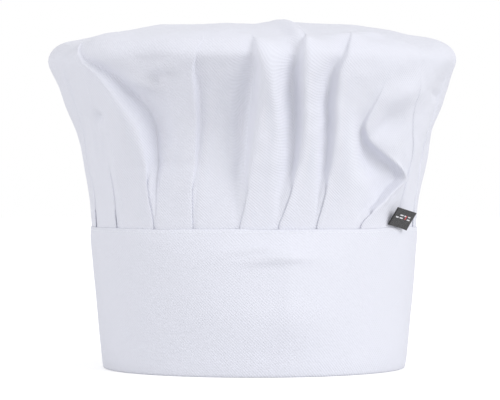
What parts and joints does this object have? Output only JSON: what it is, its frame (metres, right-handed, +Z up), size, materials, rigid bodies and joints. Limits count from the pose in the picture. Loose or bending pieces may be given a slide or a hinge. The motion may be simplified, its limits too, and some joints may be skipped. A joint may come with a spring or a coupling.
{
  "type": "chef toque",
  "caption": "Chef toque: stiffened folded band, pleated cloth crown with a vent slit at the back, hook-and-loop closing tab and a small loop label at the seam.",
  "frame": {"origin": "centre of the head opening, on the plane of the band's bottom edge", "axes": "+Z up through the crown, -Y the front of the hat, +X the wearer's left"},
  "size_m": [0.244, 0.219, 0.2086],
  "materials": {
    "twill_white": "matt poly-cotton twill with a fine diagonal rib",
    "stiffener_white": "matt non-woven stiffener",
    "thread_white": "satin polyester sewing thread",
    "hook_white": "rough nylon hooks",
    "loop_white": "fuzzy nylon loops",
    "label_black": "woven ribbon with plain stripes"
  },
  "bodies": {
    "hat": {"band_cover": "twill_white", "band_stiffener": "stiffener_white", "band_top_stitching": "thread_white", "band_end_stitching": "thread_white", "crown": "twill_white", "slit_stitching": "thread_white", "loop_tape": "loop_white", "loop_tape_stitching": "thread_white"},
    "tab": {"tab_cover": "twill_white", "tab_stiffener": "stiffener_white", "tab_edge_stitching": "thread_white", "hook_tape": "hook_white", "hook_tape_stitching": "thread_white"},
    "label": {"woven_label": "label_black"}
  },
  "joints": [
    {"name": "tab_peel", "type": "hinge", "parent": "hat", "child": "tab", "pos_m": [-0.008, 0.09662, 0], "axis": [0, -0.0872, 0.9962], "range_deg": [0, 120]},
    {"name": "label_flip", "type": "hinge", "parent": "hat", "child": "label", "pos_m": [0.08482, -0.04899, 0.086], "axis": [0.6796, 0.701, -0.2164], "range_deg": [-15, 130], "stiffness_Nm_per_rad": 0.0004}
  ]
}
